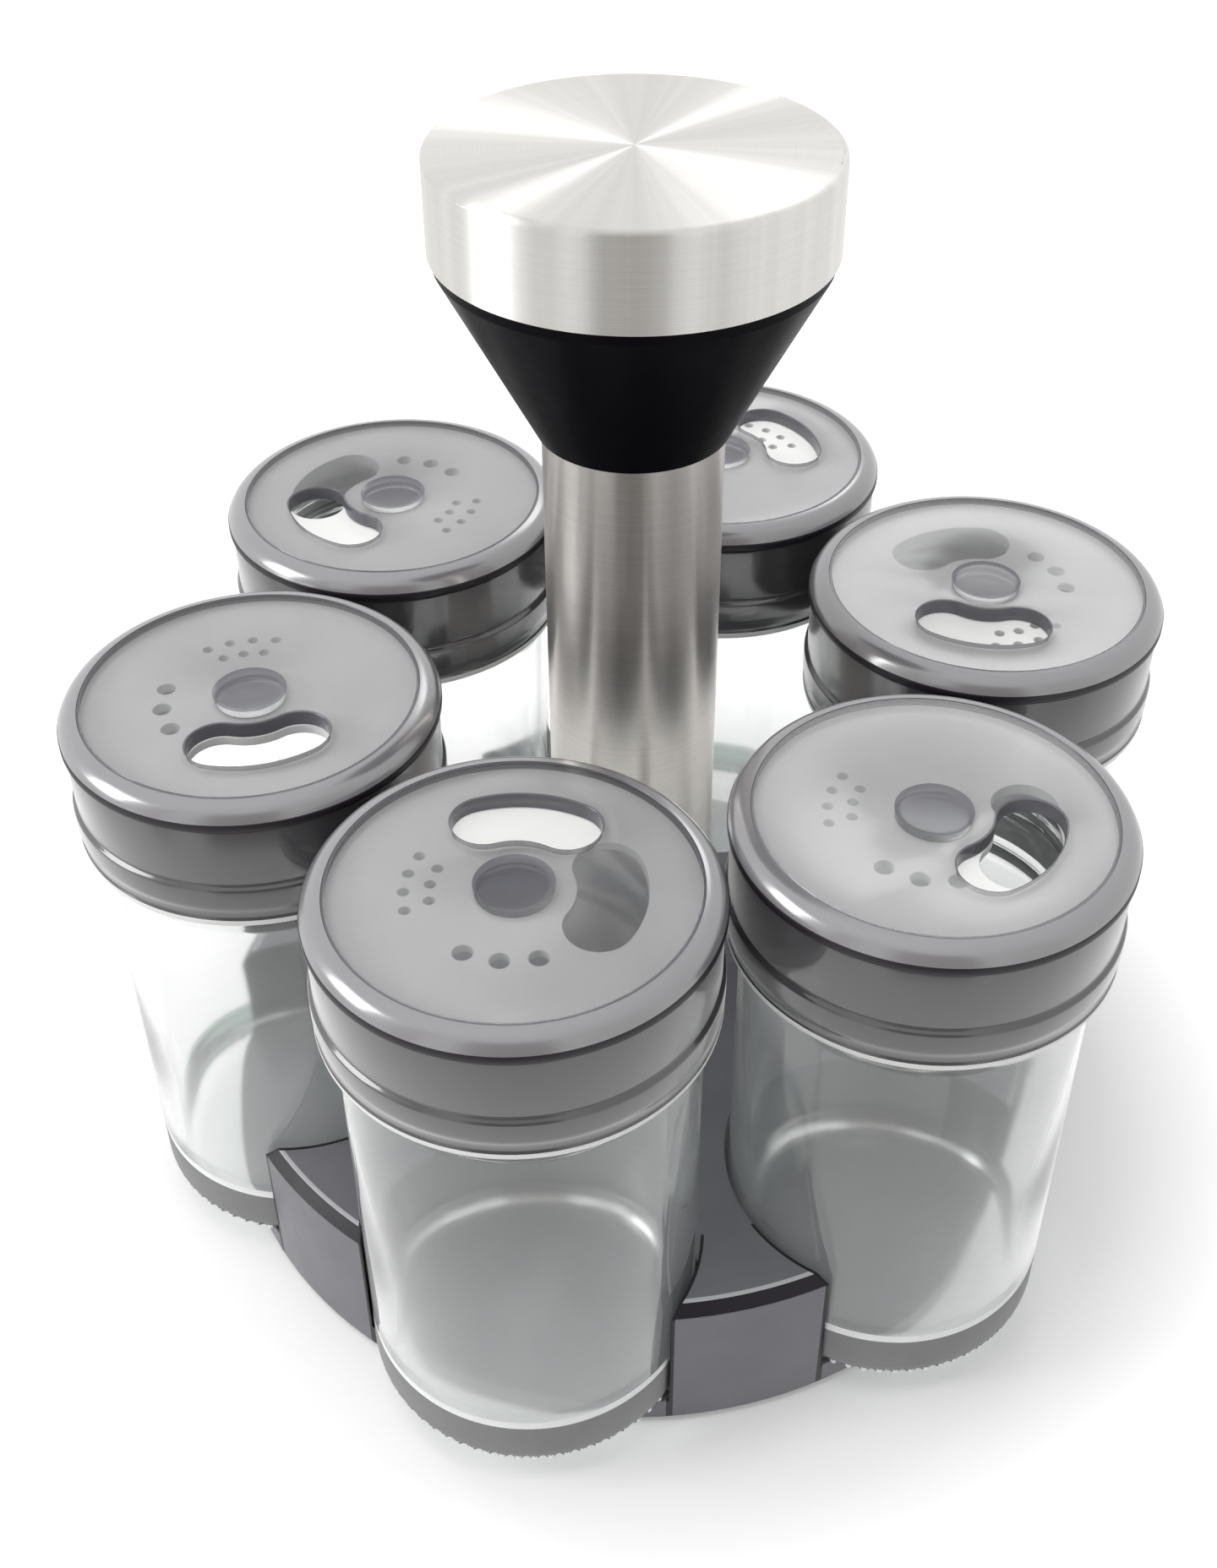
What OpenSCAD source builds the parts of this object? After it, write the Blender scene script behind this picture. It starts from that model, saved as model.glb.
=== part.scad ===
// Rotating spice rack: six glass jars with shaker lids stand in the scalloped pockets of a
// turning tray, round a steel column that carries a knob. All sizes are in millimetres.
// The axis of the column is the Z axis, and the rack stands on the plane z = 0.

/* [Jar] */
// Outside diameter of the straight glass body
jar_d = 48; // [44:0.5:52]
// How far the neck inside the lid steps in from the body
neck_in = 2; // [1:0.1:3]
// Height from the jar's foot to its mouth
jar_h = 85; // [70:1:105]
// Thickness of the glass wall
jar_wall = 2.2; // [1.6:0.1:3]
// Thickness of the glass floor
jar_floor = 5; // [3:0.25:7]
// Bevel round the jar's foot
jar_bevel = 1.2; // [0.5:0.1:2]
// Radius inside the jar where the wall meets the floor
jar_inner_round = 3; // [1:0.25:5]
// Height of the sloping shoulder between the body and the neck
shoulder_h = 2.5; // [1.5:0.1:4]
// Room for the screw thread between the neck and the lid collar
thread_room = 1.5; // [1:0.1:2]

/* [Lid] */
// Wall of the lid collar at its lower band
collar_wall = 3; // [2.4:0.1:4]
// How far the collar reaches down the jar from the mouth
collar_reach = 15.5; // [10:0.5:18]
// Height of the wider band at the bottom of the collar
collar_band = 6.6; // [4:0.2:9]
// How far the collar steps in above that band
collar_step = 0.5; // [0.2:0.1:0.9]
// Thickness of the shelf that lies over the jar's mouth
shelf_t = 1; // [0.8:0.1:1.6]
// Thickness of the white sifter plate
sifter_t = 1.3; // [1:0.1:2]
// Thickness of the dial where the slot goes through it
dial_plate = 2.3; // [1.6:0.1:3]
// Width of the sloping shoulder round the dial, from its rim to its flat top
dial_shoulder = 2.9; // [2:0.1:4]
// Height of the upright lip at the dial's rim
dial_lip = 1.1; // [0.8:0.1:1.4]
// Gap between neighbouring lids
lid_gap = 2; // [1:0.25:6]

/* [Shaker openings] */
// Radius of the middle line of the kidney slot
slot_mid_r = 12.3; // [11.5:0.1:13]
// Width of the kidney slot
slot_w = 8.8; // [6:0.2:9.6]
// Sweep of the slot's middle line, between the centres of its round ends
slot_sweep = 51; // [20:1:55]
// Diameter of each coarse hole
coarse_d = 2.6; // [1.6:0.1:3.2]
// Angle between neighbouring coarse holes
coarse_step = 22; // [18:1:26]
// Diameter of each fine hole
fine_d = 1.5; // [0.8:0.1:1.8]
// Radius midway between the two rows of fine holes
fine_mid_r = 12.2; // [11.5:0.1:13]
// Distance between the two rows of fine holes
fine_row_gap = 3.1; // [2.6:0.1:3.8]
// Diameter of the round recess at the dial's centre
hub_recess_d = 8.4; // [7.4:0.2:10]
// Depth of that recess
hub_recess = 3.6; // [2.6:0.1:4.2]

/* [Base tray] */
// Height of the tray from its lower edge to its top
base_h = 25.5; // [22:0.5:32]
// How far the tray reaches out past the jars' centres
base_reach = 12.5; // [8:0.5:14]
// Gap between the tray's lower edge and the table
ground_gap = 1.5; // [1.2:0.1:2.5]
// Height of each jar's seat above the tray's lower edge
seat_h = 4; // [3.6:0.1:6]
// Wall of the moulded tray
base_wall = 2.2; // [1.6:0.1:3]
// Thickness of the floor under each jar
seat_floor = 2; // [1.4:0.1:2.4]
// Bevel along the tray's outer top edge
base_bevel = 1.6; // [0.8:0.1:2.5]
// Clearance round each jar in its pocket
pocket_clear = 0.6; // [0.4:0.05:1]
// Thickness of the stiffening ribs under the tray
rib_t = 2; // [1.8:0.1:2.6]

/* [Column and knob] */
// Outside diameter of the steel column
column_d = 24.7; // [20:0.1:28]
// Wall of the column tube
column_wall = 0.8; // [0.5:0.1:1.5]
// Height of the column that shows between the lids and the knob
column_show = 34; // [25:1:60]
// How deep the column stands in the tray
column_foot = 6; // [4:0.5:8]
// How deep the column goes into the knob's cone
column_head = 12; // [8:0.5:14]
// Diameter of the knob's steel cap
knob_d = 52; // [46:0.5:54]
// Height of the steel cap
cap_h = 12.5; // [10:0.5:18]
// Thickness of the steel cap
cap_wall = 0.6; // [0.4:0.1:1]
// Radius along the top edge of the cap
cap_round = 0.9; // [0.5:0.1:2]
// Height of the black cone
cone_h = 25.5; // [22:0.5:34]
// Upright lip of the cone under the cap
cone_lip = 1.6; // [0.8:0.1:3]
// Thickness of the cone's lower edge round the column
cone_edge = 0.7; // [0.5:0.1:1.5]

/* [Turntable] */
// Diameter of the standing foot
foot_d = 90; // [80:1:100]
// Thickness of the foot's plate
foot_t = 2; // [1.8:0.1:2.3]
// Diameter of each rubber pad
pad_d = 10; // [7:0.5:12]
// Height by which the pads stand below the foot
pad_proud = 0.8; // [0.5:0.1:1]
// Number of rubber pads
pad_count = 6; // [3:1:8]
// Radius of the circle on which the balls run
race_r = 22.5; // [21.5:0.25:23.5]
// Diameter of each ball
ball_d = 5; // [4:0.5:5.5]
// Number of balls
ball_count = 16; // [10:1:18]
// Width of each ball track
track_w = 7; // [6:0.25:7.5]
// Diameter of the tie rod
rod_d = 6; // [5:0.5:7]
// Width across the flats of the nuts
nut_flats = 10; // [9:0.5:11]
// Height of the nuts
nut_h = 4.2; // [3.5:0.1:5]
// Thickness of the washers
washer_t = 1; // [0.8:0.1:1.4]
// Diameter of the washers
washer_d = 16; // [13:0.5:17]

/* [Hidden] */
$fn = 96;
jar_count = 6;
// Radial running fit between a turning piece and its bore
running_fit = 0.05;
// Gap between two pieces that move past each other
moving_gap = 0.3;
// Gap between two flat faces that lie on each other
seat_gap = 0.1;
// Extra length of a cutter past the face that it cuts
over = 1;

// Angle of each lid on its jar, from straight outwards, as each was last screwed down
lid_turn = [100, 30, 95, 150, 20, 90];
// Angle of each dial's slot from the sifter's wide opening, as each was last set
dial_turn = [90, -21, 150, 160, 65, 0];

// Jar and pitch
jar_r = jar_d / 2;
jar_inner_r = jar_r - jar_wall;
neck_r = jar_r - neck_in;
neck_inner_r = neck_r - jar_wall;
neck_foot_h = jar_h - collar_reach - moving_gap;
shoulder_foot_h = neck_foot_h - shoulder_h;
collar_bore_r = neck_r + thread_room;
lid_r = collar_bore_r + collar_wall;
pitch_r = (lid_r + lid_gap / 2) / sin(180 / jar_count);
pocket_r = jar_r + pocket_clear;

// Heights of the tray and the jar
seat_z = ground_gap + seat_h;
base_top = ground_gap + base_h;
base_ceiling = base_top - base_wall;
mouth_z = seat_z + jar_h;

// Heights and radii of the lid
collar_z = mouth_z - collar_reach;
shelf_z = mouth_z + seat_gap;
collar_top = shelf_z + shelf_t;
collar_upper_r = lid_r - collar_step;
slot_outer_r = slot_mid_r + slot_w / 2;
spigot_set = 0.3;
spigot_wall = 1.1;
spigot_bore_r = slot_outer_r + spigot_set;
spigot_r = spigot_bore_r + spigot_wall;
shelf_r = spigot_r + seat_gap;
sifter_inset = 2;
sifter_r = collar_upper_r - sifter_inset;
sifter_top = collar_top + sifter_t;
dial_z = collar_top + moving_gap;
dial_under = sifter_top + seat_gap;
dial_top = dial_under + dial_plate;
dial_lip_set = 0.8;
hub_wall = 0.9;
hub_r = hub_recess_d / 2 + hub_wall;
hub_catch = 0.8;
hub_catch_h = 1.2;
hub_post_r = 2.4;
hub_post_h = 1.2;
finger_cuts = 4;
finger_cut_w = 1.6;
coarse_holes = 3;
fine_outer_step = 14;
fine_inner_step = 16;

// Base tray
base_r = pitch_r + base_reach;

// Column and knob
column_r = column_d / 2;
column_z = base_top - column_foot;
cone_z = dial_top + column_show;
cap_z = cone_z + cone_h;
cap_top = cap_z + cap_h;
knob_r = knob_d / 2;
cone_top_r = knob_r - cap_wall;
cone_foot_r = column_r + running_fit + cone_edge;
plug_r = knob_r - cap_wall - running_fit;
plug_top = cap_top - cap_wall - seat_gap;
column_top = cone_z + column_head;
cone_web = 7;
well_z = column_top + cone_web;
well_wall = 3;
well_r = washer_d / 2 + well_wall;

// Turntable, from the table upwards
rod_r = rod_d / 2;
rod_hole_r = rod_r + running_fit;
washer_r = washer_d / 2;
foot_r = foot_d / 2;
foot_z = pad_proud;
foot_top = foot_z + foot_t;
lock_nut_z = pad_proud;
thrust_z = lock_nut_z + nut_h;
bush_z = thrust_z + washer_t;
foot_hub_z = bush_z + moving_gap;
foot_hub_t = 2.4;
foot_hub_top = foot_hub_z + foot_hub_t;
clamp_nut_z = foot_hub_top + moving_gap;
clamp_washer_z = clamp_nut_z + nut_h;
boss_z = clamp_washer_z + washer_t;
bush_wall = 2;
bush_r = rod_hole_r + bush_wall;
foot_well_r = washer_r + over;
foot_hub_r = foot_well_r + foot_hub_t;
ball_r = ball_d / 2;
ball_z = boss_z - ball_r;
cage_t = 1;
track_gap = cage_t / 2 + moving_gap;
lower_track_z = ball_z - track_gap;
upper_track_z = ball_z + track_gap;
cage_margin = 0.5;
boss_wall = 3;
boss_r = column_r + boss_wall;
race_z = foot_top + seat_gap;
race_web = 2;
screw_count = 3;
screw_r = 1.5;
screw_head_r = 2.8;
screw_head_h = 1.2;
screw_ring_r = (foot_hub_r + race_r - track_w / 2) / 2;
pad_sink = foot_t / 2;
pad_ring_r = foot_r - pad_d / 2 - pad_sink;
rod_top = well_z + washer_t + nut_h + over;

function jar_angle(k) = -90 + (k - 1) * 360 / jar_count;

// Places its children on the axis of jar k, with +X pointing straight outwards
module at_jar(k) {
    rotate([0, 0, jar_angle(k)])
        translate([pitch_r, 0, 0])
            children();
}

// A cylinder that starts at height z
module disc(r, z, h) {
    translate([0, 0, z])
        cylinder(r = r, h = h);
}

// A ring that starts at height z
module ring(outer, inner, z, h) {
    difference() {
        disc(outer, z, h);
        disc(inner, z - over, h + 2 * over);
    }
}

// A washer on the tie rod
module washer(z) {
    color("gainsboro")
        ring(washer_r, rod_hole_r, z, washer_t);
}

// A hexagon nut on the tie rod
module nut(z) {
    color("silver")
        difference() {
            translate([0, 0, z])
                cylinder(d = nut_flats / cos(30), h = nut_h, $fn = 6);
            disc(rod_hole_r, z - over, nut_h + 2 * over);
        }
}

// The kidney slot as a cutter, with the middle of its sweep along +X
module kidney(z, h) {
    rotate([0, 0, -slot_sweep / 2])
        rotate_extrude(angle = slot_sweep)
            translate([slot_mid_r - slot_w / 2, z])
                square([slot_w, h]);
    for (side = [-1, 1])
        rotate([0, 0, side * slot_sweep / 2])
            translate([slot_mid_r, 0, 0])
                disc(slot_w / 2, z, h);
}

// Round holes at radius r, spread evenly about the +X direction
module hole_row(count, step, r, d, z, h) {
    for (i = [0:count - 1])
        rotate([0, 0, (i - (count - 1) / 2) * step])
            translate([r, 0, 0])
                disc(d / 2, z, h);
}

// The standing foot: a flat plate with a round window for the pivot and sockets for the pads
module foot_plate() {
    color([0.16, 0.16, 0.17])
        difference() {
            ring(foot_r, foot_well_r, foot_z, foot_t);
            for (i = [0:pad_count - 1])
                rotate([0, 0, i * 360 / pad_count])
                    translate([pad_ring_r, 0, 0])
                        disc(pad_d / 2, foot_z - over, pad_sink + over);
            at_screws() {
                disc(screw_r + running_fit, foot_z - over, foot_t + 2 * over);
                disc(screw_head_r + running_fit, foot_z - over, screw_head_h + over);
            }
        }
}

// The pivot hub and the lower ball track, one moulding that is screwed on the foot
module race_hub() {
    color([0.20, 0.20, 0.21])
        difference() {
            union() {
                disc(foot_hub_r, race_z, foot_hub_top - race_z);
                disc(race_r + track_w / 2, race_z, race_web);
                ring(race_r + track_w / 2, race_r - track_w / 2, race_z, lower_track_z - race_z);
            }
            disc(bush_r + running_fit, foot_z - over, foot_hub_top + over);
            disc(foot_well_r, foot_z - over, foot_hub_z - foot_z + over);
            ball_groove();
            at_screws()
                disc(screw_r + running_fit, race_z - over, race_web + 2 * over);
        }
}

// The screws that hold the hub on the foot, with their heads sunk in its underside
module foot_screws() {
    color("silver")
        at_screws() {
            disc(screw_r, foot_z + seat_gap, race_z + race_web - foot_z - seat_gap);
            disc(screw_head_r, foot_z + seat_gap, screw_head_h - seat_gap);
        }
}

// Places its children at each screw of the foot
module at_screws() {
    for (i = [0:screw_count - 1])
        rotate([0, 0, i * 360 / screw_count])
            translate([screw_ring_r, 0, 0])
                children();
}

// Rubber pads, sunk in the underside of the foot
module foot_pads() {
    color([0.08, 0.08, 0.08])
        for (i = [0:pad_count - 1])
            rotate([0, 0, i * 360 / pad_count])
                translate([pad_ring_r, 0, 0])
                    disc(pad_d / 2 - running_fit, 0, pad_proud + pad_sink);
}

// The round groove in which the balls run, as a cutter
module ball_groove() {
    translate([0, 0, ball_z])
        rotate_extrude()
            translate([race_r, 0])
                circle(r = ball_r + running_fit);
}

// The balls of the turntable
module bearing_balls() {
    color("silver")
        for (i = [0:ball_count - 1])
            rotate([0, 0, i * 360 / ball_count])
                translate([race_r, 0, ball_z])
                    sphere(r = ball_r);
}

// The flat cage that keeps the balls apart
module ball_cage() {
    color("ivory")
        difference() {
            ring(race_r + track_w / 2 - cage_margin, race_r - track_w / 2 + cage_margin,
                ball_z - cage_t / 2, cage_t);
            for (i = [0:ball_count - 1])
                rotate([0, 0, i * 360 / ball_count])
                    translate([race_r, 0, 0])
                        disc(ball_r + running_fit, ball_z - over, 2 * over);
        }
}

// The sleeve on the rod on which the foot turns
module pivot_bush() {
    color("ivory")
        ring(bush_r, rod_hole_r, bush_z, clamp_nut_z - bush_z);
}

// The moulded tray: scalloped pockets, islands between them, and a ribbed hollow underside
module base_tray() {
    color([0.29, 0.29, 0.32])
        difference() {
            rotate_extrude()
                polygon([
                    [0, ground_gap],
                    [base_r, ground_gap],
                    [base_r, base_top - base_bevel],
                    [base_r - base_bevel, base_top],
                    [0, base_top]
                ]);
            for (k = [1:jar_count])
                at_jar(k)
                    disc(pocket_r, seat_z, base_h);
            tray_hollow();
            ball_groove();
            disc(column_r + running_fit, column_z, column_foot + over);
            disc(rod_hole_r, boss_z - over, base_h);
        }
}

// The hollow under the tray, as a cutter: what it leaves are the pockets, boss, track and ribs
module tray_hollow() {
    difference() {
        disc(base_r - base_wall, ground_gap - over, base_ceiling - ground_gap + over);
        for (k = [1:jar_count])
            at_jar(k)
                disc(pocket_r + base_wall, seat_z - seat_floor, base_h);
        disc(boss_r, boss_z, base_h);
        ring(race_r + track_w / 2, race_r - track_w / 2, upper_track_z, base_h);
        for (k = [1:jar_count])
            rotate([0, 0, jar_angle(k) + 180 / jar_count])
                translate([race_r, -rib_t / 2, boss_z])
                    cube([base_r - race_r, rib_t, base_h]);
    }
}

// The brushed steel tube
module column_tube() {
    color("lightgray")
        ring(column_r, column_r - column_wall, column_z, column_top - column_z);
}

// The black cone: a socket for the column below, a well for the nut and the cap's plug above
module knob_cone() {
    color([0.06, 0.06, 0.07])
        difference() {
            rotate_extrude()
                polygon([
                    [0, cone_z],
                    [cone_foot_r, cone_z],
                    [cone_top_r, cap_z - cone_lip],
                    [cone_top_r, cap_z],
                    [plug_r, cap_z],
                    [plug_r, plug_top],
                    [0, plug_top]
                ]);
            disc(column_r + running_fit, cone_z - over, column_head + over);
            disc(rod_hole_r, column_top - over, cone_web + 2 * over);
            disc(well_r, well_z, plug_top - well_z + over);
        }
}

// The drawn steel cap of the knob
module knob_cap() {
    color("silver")
        difference() {
            rotate_extrude()
                translate([0, cap_z])
                    union() {
                        square([knob_r - cap_round, cap_h]);
                        square([knob_r, cap_h - cap_round]);
                        translate([knob_r - cap_round, cap_h - cap_round])
                            circle(r = cap_round);
                    }
            disc(knob_r - cap_wall, cap_z - over, cap_h - cap_wall + over);
        }
}

// The rod that ties the knob, the column and the tray together and carries the foot
module tie_rod() {
    color("gainsboro")
        disc(rod_r, lock_nut_z, rod_top - lock_nut_z);
}

// A straight glass jar with a thick floor, and a short shoulder and neck under the lid
module jar(k) {
    inner_h = jar_h - jar_floor;
    inner_drop = jar_wall / 2;
    color([0.80, 0.86, 0.84, 0.4])
        at_jar(k)
            translate([0, 0, seat_z])
                rotate_extrude()
                    difference() {
                        polygon([
                            [0, 0],
                            [jar_r - jar_bevel, 0],
                            [jar_r, jar_bevel],
                            [jar_r, shoulder_foot_h],
                            [neck_r, neck_foot_h],
                            [neck_r, jar_h],
                            [0, jar_h]
                        ]);
                        polygon([
                            [0, jar_floor + jar_inner_round],
                            [jar_inner_r, jar_floor + jar_inner_round],
                            [jar_inner_r, shoulder_foot_h - inner_drop],
                            [neck_inner_r, neck_foot_h - inner_drop],
                            [neck_inner_r, jar_h + over],
                            [0, jar_h + over]
                        ]);
                        translate([0, jar_floor])
                            union() {
                                square([jar_inner_r - jar_inner_round, inner_h / 2]);
                                translate([jar_inner_r - jar_inner_round, jar_inner_round])
                                    circle(r = jar_inner_round);
                            }
                    }
}

// The smoke-coloured collar that screws on the jar, with a shelf over the mouth
module lid_collar(k) {
    color([0.42, 0.42, 0.44, 0.8])
        at_jar(k)
            rotate_extrude()
                polygon([
                    [collar_bore_r, collar_z],
                    [lid_r, collar_z],
                    [lid_r, collar_z + collar_band],
                    [collar_upper_r, collar_z + collar_band + collar_step],
                    [collar_upper_r, collar_top],
                    [shelf_r, collar_top],
                    [shelf_r, shelf_z],
                    [collar_bore_r, shelf_z]
                ]);
}

// The white plate on the collar: a wide opening, coarse holes, fine holes and a blank quarter
module sifter(k) {
    cut_z = shelf_z - over;
    cut_h = sifter_top - cut_z + over;
    fine_outer_r = fine_mid_r + fine_row_gap / 2;
    fine_inner_r = fine_mid_r - fine_row_gap / 2;
    color("white")
        at_jar(k)
            rotate([0, 0, lid_turn[k - 1]])
                difference() {
                    union() {
                        disc(sifter_r, collar_top, sifter_t);
                        ring(spigot_r, spigot_bore_r, shelf_z, shelf_t + sifter_t);
                    }
                    kidney(cut_z, cut_h);
                    rotate([0, 0, -90])
                        hole_row(coarse_holes, coarse_step, slot_mid_r, coarse_d, cut_z, cut_h);
                    rotate([0, 0, 180]) {
                        hole_row(4, fine_outer_step, fine_outer_r, fine_d, cut_z, cut_h);
                        hole_row(3, fine_inner_step, fine_inner_r, fine_d, cut_z, cut_h);
                    }
                    disc(hub_r + running_fit, cut_z, cut_h);
                }
}

// The smoke-coloured dial: one kidney slot, a sloping shoulder, and a hub that snaps through the sifter
module dial(k) {
    rim_inner_r = sifter_r + moving_gap;
    hub_z = collar_top - moving_gap - hub_catch_h;
    recess_z = dial_top - hub_recess;
    color([0.45, 0.45, 0.47, 0.8])
        at_jar(k)
            rotate([0, 0, lid_turn[k - 1] + dial_turn[k - 1]])
                difference() {
                    union() {
                        rotate_extrude()
                            polygon([
                                [0, dial_under],
                                [rim_inner_r, dial_under],
                                [rim_inner_r, dial_z],
                                [lid_r, dial_z],
                                [lid_r - dial_lip_set, dial_z + dial_lip],
                                [lid_r - dial_shoulder, dial_top],
                                [0, dial_top]
                            ]);
                        disc(hub_r, hub_z, dial_top - hub_z);
                        disc(hub_r + hub_catch, hub_z, hub_catch_h);
                    }
                    ring(hub_recess_d / 2, hub_post_r, recess_z, hub_recess + over);
                    disc(hub_post_r + over, recess_z + hub_post_h, hub_recess);
                    kidney(dial_under - over, dial_plate + 2 * over);
                    for (i = [0:finger_cuts - 1])
                        rotate([0, 0, (i + 0.5) * 360 / finger_cuts])
                            translate([hub_recess_d / 2, -finger_cut_w / 2, hub_z - over])
                                cube([hub_wall + 2 * hub_catch, finger_cut_w, hub_catch_h + over]);
                }
}

foot_plate();
foot_pads();
race_hub();
foot_screws();
ball_cage();
bearing_balls();
pivot_bush();
washer(thrust_z);  // thrust_washer
nut(lock_nut_z);  // lock_nut
nut(clamp_nut_z);  // clamp_nut
washer(clamp_washer_z);  // clamp_washer
tie_rod();
base_tray();
column_tube();
knob_cone();
washer(well_z);  // top_washer
nut(well_z + washer_t);  // top_nut
knob_cap();
for (k = [1:jar_count]) {
    jar(k);
    lid_collar(k);
    sifter(k);
    dial(k);
}
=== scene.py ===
"""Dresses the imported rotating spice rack: six glass jars with smoke-coloured shaker lids stand in a
scalloped tray that turns with a brushed steel column and knob. Metres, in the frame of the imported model."""
import math

import bmesh
import bpy
from mathutils import Matrix, Vector
from mathutils.geometry import delaunay_2d_cdt


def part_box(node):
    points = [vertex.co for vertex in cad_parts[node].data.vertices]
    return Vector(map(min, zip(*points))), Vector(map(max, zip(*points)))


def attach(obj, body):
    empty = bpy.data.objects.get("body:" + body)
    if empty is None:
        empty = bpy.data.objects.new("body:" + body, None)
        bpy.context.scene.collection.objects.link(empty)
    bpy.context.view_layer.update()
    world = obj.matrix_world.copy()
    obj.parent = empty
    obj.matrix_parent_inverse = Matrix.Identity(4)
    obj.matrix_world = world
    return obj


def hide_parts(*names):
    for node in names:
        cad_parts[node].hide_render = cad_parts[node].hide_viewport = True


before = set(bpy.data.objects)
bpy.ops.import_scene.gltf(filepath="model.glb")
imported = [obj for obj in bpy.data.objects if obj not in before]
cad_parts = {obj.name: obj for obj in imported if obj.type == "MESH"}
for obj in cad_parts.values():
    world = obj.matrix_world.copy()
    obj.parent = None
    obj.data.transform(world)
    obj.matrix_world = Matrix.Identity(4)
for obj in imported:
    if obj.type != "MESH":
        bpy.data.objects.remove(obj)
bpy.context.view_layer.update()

MM = 0.001
JARS = range(1, 7)
SEG = 128  # steps round a turned piece

# Sizes in millimetres, as in the part's source
PITCH_R = 55.0
POCKET_R = 24.6
JAR_R = 24.0
JAR_WALL = 2.2
JAR_FLOOR = 5.0
TEETH = 64  # round the jar's foot
TOOTH_H = 1.2
GROUND_TOP = 8.4  # of the ground band, and of the bright line along it (a painted highlight), above the foot
LINE_TOP = 10.0
NECK_R = 22.0
SHOULDER_H = 2.5
COLLAR_REACH = 15.5
BORE_R = 23.5
LID_R = 26.5
COLLAR_UPPER_R = 26.0
SHELF_R = 18.2
BAND_H = 6.6
SLOT_MID_R = 12.3
SLOT_W = 8.8
SLOT_SWEEP = 51.0
HUB_RECESS_R = 4.2
HUB_R = 5.1
DIAL_PLATE = 2.3
DIAL_BORE_R = 24.3
DIAL_LIP_H = 1.05
DIAL_TOP_R = LID_R - 3.9  # of the dial's flat top, inside its ring groove
# Each lid's turn from straight outwards, and each dial's turn from the sifter's wide opening, in degrees
LID_TURN = (100, 30, 95, 150, 20, 90)
DIAL_TURN = (90, -21, 150, 160, 65, 0)


def jar_place(k):
    """(x, y, angle) of jar k's axis, in millimetres and degrees."""
    lo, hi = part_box(f"jar_{k}")
    x, y = (lo[0] + hi[0]) / 2 / MM, (lo[1] + hi[1]) / 2 / MM
    return x, y, math.degrees(math.atan2(y, x))


def heights(node):
    """Lowest and highest z of a CAD node, in millimetres."""
    lo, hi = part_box(node)
    return lo[2] / MM, hi[2] / MM


# Mesh helpers, in millimetres until the mesh is made


def circle(bm, r, z, n=SEG, reach=None):
    """One ring of vertices. reach(i) adds to its radius."""
    out = []
    for i in range(n):
        a = 2 * math.pi * i / n
        at = r + (reach(i) if reach else 0.0)
        out.append(bm.verts.new((at * math.cos(a), at * math.sin(a), z)))
    return out


def bridge(bm, a, b):
    """Faces between two rings. One may have a whole multiple of the other's vertices."""
    if len(a) > len(b):
        a, b = b, a
    m = len(b) // len(a)
    n = len(a)
    for i in range(n):
        j = (i + 1) % n
        outer = [b[(i * m + s) % len(b)] for s in range(m + 1)]
        bm.faces.new([a[i], a[j]] + outer[::-1])


def cap(bm, ring, z):
    """Closes a ring with a fan to a point on the axis."""
    tip = bm.verts.new((0.0, 0.0, z))
    for i, v in enumerate(ring):
        bm.faces.new((v, ring[(i + 1) % len(ring)], tip))


def turned(bm, profile, n=SEG, loop=False):
    """Rings along a list of (radius, height), joined. loop joins the last to the first."""
    rings = [circle(bm, r, z, n) for r, z in profile]
    for a, b in zip(rings, rings[1:]):
        bridge(bm, a, b)
    if loop:
        bridge(bm, rings[-1], rings[0])
    return rings


def corner(p, q, s, r, steps=3):
    """Points that round the corner q of a path p, q, s with a fillet that starts r before it."""
    p, q, s = Vector(p), Vector(q), Vector(s)
    a = q + (p - q).normalized() * r
    b = q + (s - q).normalized() * r
    out = []
    for i in range(steps + 1):
        t = i / steps
        out.append(tuple((1 - t) ** 2 * a + 2 * t * (1 - t) * q + t * t * b))
    return out


def rounded(points, radii, loop=False, steps=3):
    """A path with its corners rounded. radii has one number for each point, 0 for a sharp one."""
    out = []
    n = len(points)
    for i, (p, r) in enumerate(zip(points, radii)):
        if r and (loop or 0 < i < n - 1):
            out += corner(points[i - 1], p, points[(i + 1) % n], r, steps)
        else:
            out.append(tuple(p))
    return out


def new_piece(name, bm, material, sharp=32):
    """An object from a bmesh in millimetres, shaded smooth with sharp edges kept."""
    bmesh.ops.remove_doubles(bm, verts=bm.verts, dist=1e-4)
    bmesh.ops.recalc_face_normals(bm, faces=bm.faces)
    bm.transform(Matrix.Scale(MM, 4))
    mesh = bpy.data.meshes.new(name)
    bm.to_mesh(mesh)
    bm.free()
    mesh.polygons.foreach_set("use_smooth", [True] * len(mesh.polygons))
    mesh.set_sharp_from_angle(angle=math.radians(sharp))
    mesh.materials.append(material)
    piece = bpy.data.objects.new(name, mesh)
    bpy.context.scene.collection.objects.link(piece)
    return piece


def put(piece, x, y, turn=0.0):
    """Turns the mesh about its own axis and moves the piece to x, y."""
    piece.data.transform(Matrix.Rotation(math.radians(turn), 4, "Z"))
    piece.location = (x * MM, y * MM, 0.0)
    bpy.context.view_layer.update()


# Materials


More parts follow.
